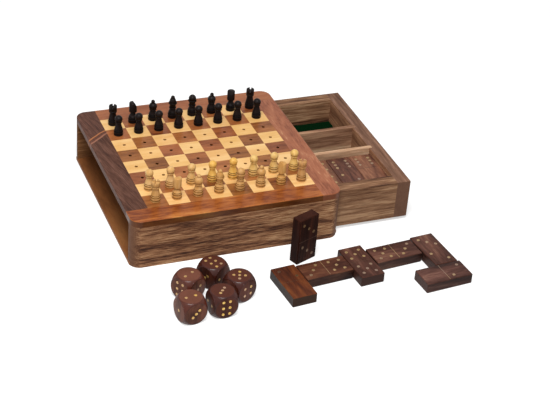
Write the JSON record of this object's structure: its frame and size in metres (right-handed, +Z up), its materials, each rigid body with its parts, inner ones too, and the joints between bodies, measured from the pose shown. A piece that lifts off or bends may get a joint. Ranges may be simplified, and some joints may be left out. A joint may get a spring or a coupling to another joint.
{
  "type": "games compendium box",
  "caption": "Sleeve-type wooden games box with a pegged chess board top, a compartmented drawer sliding out of one end, pegged chessmen, rounded dice and dominoes.",
  "frame": {"origin": "middle of the case's underside, on the surface that it stands on", "axes": "+Z up, +X the way the drawer opens, +Y towards the black chessmen's side"},
  "size_m": [0.2591, 0.2736, 0.0652],
  "materials": {
    "sheesham_walls": "oiled, streaked grain",
    "base_board": "plain",
    "plywood": "plain",
    "rail_orange": "lacquered",
    "rail_dark": "lacquered",
    "rail_red": "lacquered",
    "rail_pink": "lacquered",
    "light_inlay": "lacquered",
    "dark_inlay": "lacquered",
    "drawer_end_wood": "oiled",
    "drawer_side_wood": "oiled",
    "drawer_floor_wood": "plain",
    "divider_wood": "plain",
    "green_felt": "felt",
    "ebonised": "stained black, satin",
    "boxwood": "satin",
    "rosewood": "satin"
  },
  "bodies": {
    "case": {"case_base": "base_board", "case_front_wall": "sheesham_walls", "case_back_wall": "sheesham_walls", "rail_front": "rail_orange", "rail_right": "rail_pink", "rail_back": "rail_red", "rail_left": "rail_dark", "board_panel": "plywood", "light_squares": "light_inlay", "dark_squares": "dark_inlay"},
    "drawer": {"drawer_ends": "drawer_end_wood", "drawer_sides": "drawer_side_wood", "drawer_bottom": "drawer_floor_wood", "drawer_dividers": "divider_wood", "drawer_felt": "green_felt", "drawer_dominoes": "rosewood"},
    "black_bishop_1": {"black_bishop_1": "ebonised"},
    "black_bishop_2": {"black_bishop_2": "ebonised"},
    "black_king": {"black_king": "ebonised"},
    "black_knight_1": {"black_knight_1": "ebonised"},
    "black_knight_2": {"black_knight_2": "ebonised"},
    "black_pawn_1": {"black_pawn_1": "ebonised"},
    "black_pawn_2": {"black_pawn_2": "ebonised"},
    "black_pawn_3": {"black_pawn_3": "ebonised"},
    "black_pawn_4": {"black_pawn_4": "ebonised"},
    "black_pawn_5": {"black_pawn_5": "ebonised"},
    "black_pawn_6": {"black_pawn_6": "ebonised"},
    "black_pawn_7": {"black_pawn_7": "ebonised"},
    "black_pawn_8": {"black_pawn_8": "ebonised"},
    "black_queen": {"black_queen": "ebonised"},
    "black_rook_1": {"black_rook_1": "ebonised"},
    "black_rook_2": {"black_rook_2": "ebonised"},
    "die_1": {"die_1": "rosewood"},
    "die_2": {"die_2": "rosewood"},
    "die_3": {"die_3": "rosewood"},
    "die_4": {"die_4": "rosewood"},
    "die_5": {"die_5": "rosewood"},
    "domino_1": {"domino_1": "rosewood"},
    "domino_2": {"domino_2": "rosewood"},
    "domino_3": {"domino_3": "rosewood"},
    "domino_4": {"domino_4": "rosewood"},
    "domino_5": {"domino_5": "rosewood"},
    "domino_6": {"domino_6": "rosewood"},
    "domino_standing": {"domino_standing": "rosewood"},
    "white_bishop_1": {"white_bishop_1": "boxwood"},
    "white_bishop_2": {"white_bishop_2": "boxwood"},
    "white_king": {"white_king": "boxwood"},
    "white_knight_1": {"white_knight_1": "boxwood"},
    "white_knight_2": {"white_knight_2": "boxwood"},
    "white_pawn_1": {"white_pawn_1": "boxwood"},
    "white_pawn_2": {"white_pawn_2": "boxwood"},
    "white_pawn_3": {"white_pawn_3": "boxwood"},
    "white_pawn_4": {"white_pawn_4": "boxwood"},
    "white_pawn_5": {"white_pawn_5": "boxwood"},
    "white_pawn_6": {"white_pawn_6": "boxwood"},
    "white_pawn_7": {"white_pawn_7": "boxwood"},
    "white_pawn_8": {"white_pawn_8": "boxwood"},
    "white_queen": {"white_queen": "boxwood"},
    "white_rook_1": {"white_rook_1": "boxwood"},
    "white_rook_2": {"white_rook_2": "boxwood"}
  },
  "joints": [
    {"name": "drawer_slide", "type": "slide", "parent": "case", "child": "drawer", "axis": [1, 0, 0], "range_m": [-0.067, 0.083]},
    {"name": "black_bishop_1_lift", "type": "slide", "parent": "case", "child": "black_bishop_1", "axis": [0, 0, 1], "range_m": [0, 0.03]},
    {"name": "black_bishop_2_lift", "type": "slide", "parent": "case", "child": "black_bishop_2", "axis": [0, 0, 1], "range_m": [0, 0.03]},
    {"name": "black_king_lift", "type": "slide", "parent": "case", "child": "black_king", "axis": [0, 0, 1], "range_m": [0, 0.03]},
    {"name": "black_knight_1_lift", "type": "slide", "parent": "case", "child": "black_knight_1", "axis": [0, 0, 1], "range_m": [0, 0.03]},
    {"name": "black_knight_2_lift", "type": "slide", "parent": "case", "child": "black_knight_2", "axis": [0, 0, 1], "range_m": [0, 0.03]},
    {"name": "black_pawn_1_lift", "type": "slide", "parent": "case", "child": "black_pawn_1", "axis": [0, 0, 1], "range_m": [0, 0.03]},
    {"name": "black_pawn_2_lift", "type": "slide", "parent": "case", "child": "black_pawn_2", "axis": [0, 0, 1], "range_m": [0, 0.03]},
    {"name": "black_pawn_3_lift", "type": "slide", "parent": "case", "child": "black_pawn_3", "axis": [0, 0, 1], "range_m": [0, 0.03]},
    {"name": "black_pawn_4_lift", "type": "slide", "parent": "case", "child": "black_pawn_4", "axis": [0, 0, 1], "range_m": [0, 0.03]},
    {"name": "black_pawn_5_lift", "type": "slide", "parent": "case", "child": "black_pawn_5", "axis": [0, 0, 1], "range_m": [0, 0.03]},
    {"name": "black_pawn_6_lift", "type": "slide", "parent": "case", "child": "black_pawn_6", "axis": [0, 0, 1], "range_m": [0, 0.03]},
    {"name": "black_pawn_7_lift", "type": "slide", "parent": "case", "child": "black_pawn_7", "axis": [0, 0, 1], "range_m": [0, 0.03]},
    {"name": "black_pawn_8_lift", "type": "slide", "parent": "case", "child": "black_pawn_8", "axis": [0, 0, 1], "range_m": [0, 0.03]},
    {"name": "black_queen_lift", "type": "slide", "parent": "case", "child": "black_queen", "axis": [0, 0, 1], "range_m": [0, 0.03]},
    {"name": "black_rook_1_lift", "type": "slide", "parent": "case", "child": "black_rook_1", "axis": [0, 0, 1], "range_m": [0, 0.03]},
    {"name": "black_rook_2_lift", "type": "slide", "parent": "case", "child": "black_rook_2", "axis": [0, 0, 1], "range_m": [0, 0.03]},
    {"name": "die_1_lift", "type": "slide", "parent": "case", "child": "die_1", "axis": [0, 0, 1], "range_m": [0, 0.03]},
    {"name": "die_2_lift", "type": "slide", "parent": "case", "child": "die_2", "axis": [0, 0, 1], "range_m": [0, 0.03]},
    {"name": "die_3_lift", "type": "slide", "parent": "case", "child": "die_3", "axis": [0, 0, 1], "range_m": [0, 0.03]},
    {"name": "die_4_lift", "type": "slide", "parent": "case", "child": "die_4", "axis": [0, 0, 1], "range_m": [0, 0.03]},
    {"name": "die_5_lift", "type": "slide", "parent": "case", "child": "die_5", "axis": [0, 0, 1], "range_m": [0, 0.03]},
    {"name": "domino_1_lift", "type": "slide", "parent": "case", "child": "domino_1", "axis": [0, 0, 1], "range_m": [0, 0.03]},
    {"name": "domino_2_lift", "type": "slide", "parent": "case", "child": "domino_2", "axis": [0, 0, 1], "range_m": [0, 0.03]},
    {"name": "domino_3_lift", "type": "slide", "parent": "case", "child": "domino_3", "axis": [0, 0, 1], "range_m": [0, 0.03]},
    {"name": "domino_4_lift", "type": "slide", "parent": "case", "child": "domino_4", "axis": [0, 0, 1], "range_m": [0, 0.03]},
    {"name": "domino_5_lift", "type": "slide", "parent": "case", "child": "domino_5", "axis": [0, 0, 1], "range_m": [0, 0.03]},
    {"name": "domino_6_lift", "type": "slide", "parent": "case", "child": "domino_6", "axis": [0, 0, 1], "range_m": [0, 0.03]},
    {"name": "domino_standing_lift", "type": "slide", "parent": "case", "child": "domino_standing", "axis": [0, 0, 1], "range_m": [0, 0.03]},
    {"name": "white_bishop_1_lift", "type": "slide", "parent": "case", "child": "white_bishop_1", "axis": [0, 0, 1], "range_m": [0, 0.03]},
    {"name": "white_bishop_2_lift", "type": "slide", "parent": "case", "child": "white_bishop_2", "axis": [0, 0, 1], "range_m": [0, 0.03]},
    {"name": "white_king_lift", "type": "slide", "parent": "case", "child": "white_king", "axis": [0, 0, 1], "range_m": [0, 0.03]},
    {"name": "white_knight_1_lift", "type": "slide", "parent": "case", "child": "white_knight_1", "axis": [0, 0, 1], "range_m": [0, 0.03]},
    {"name": "white_knight_2_lift", "type": "slide", "parent": "case", "child": "white_knight_2", "axis": [0, 0, 1], "range_m": [0, 0.03]},
    {"name": "white_pawn_1_lift", "type": "slide", "parent": "case", "child": "white_pawn_1", "axis": [0, 0, 1], "range_m": [0, 0.03]},
    {"name": "white_pawn_2_lift", "type": "slide", "parent": "case", "child": "white_pawn_2", "axis": [0, 0, 1], "range_m": [0, 0.03]},
    {"name": "white_pawn_3_lift", "type": "slide", "parent": "case", "child": "white_pawn_3", "axis": [0, 0, 1], "range_m": [0, 0.03]},
    {"name": "white_pawn_4_lift", "type": "slide", "parent": "case", "child": "white_pawn_4", "axis": [0, 0, 1], "range_m": [0, 0.03]},
    {"name": "white_pawn_5_lift", "type": "slide", "parent": "case", "child": "white_pawn_5", "axis": [0, 0, 1], "range_m": [0, 0.03]},
    {"name": "white_pawn_6_lift", "type": "slide", "parent": "case", "child": "white_pawn_6", "axis": [0, 0, 1], "range_m": [0, 0.03]},
    {"name": "white_pawn_7_lift", "type": "slide", "parent": "case", "child": "white_pawn_7", "axis": [0, 0, 1], "range_m": [0, 0.03]},
    {"name": "white_pawn_8_lift", "type": "slide", "parent": "case", "child": "white_pawn_8", "axis": [0, 0, 1], "range_m": [0, 0.03]},
    {"name": "white_queen_lift", "type": "slide", "parent": "case", "child": "white_queen", "axis": [0, 0, 1], "range_m": [0, 0.03]},
    {"name": "white_rook_1_lift", "type": "slide", "parent": "case", "child": "white_rook_1", "axis": [0, 0, 1], "range_m": [0, 0.03]},
    {"name": "white_rook_2_lift", "type": "slide", "parent": "case", "child": "white_rook_2", "axis": [0, 0, 1], "range_m": [0, 0.03]}
  ]
}
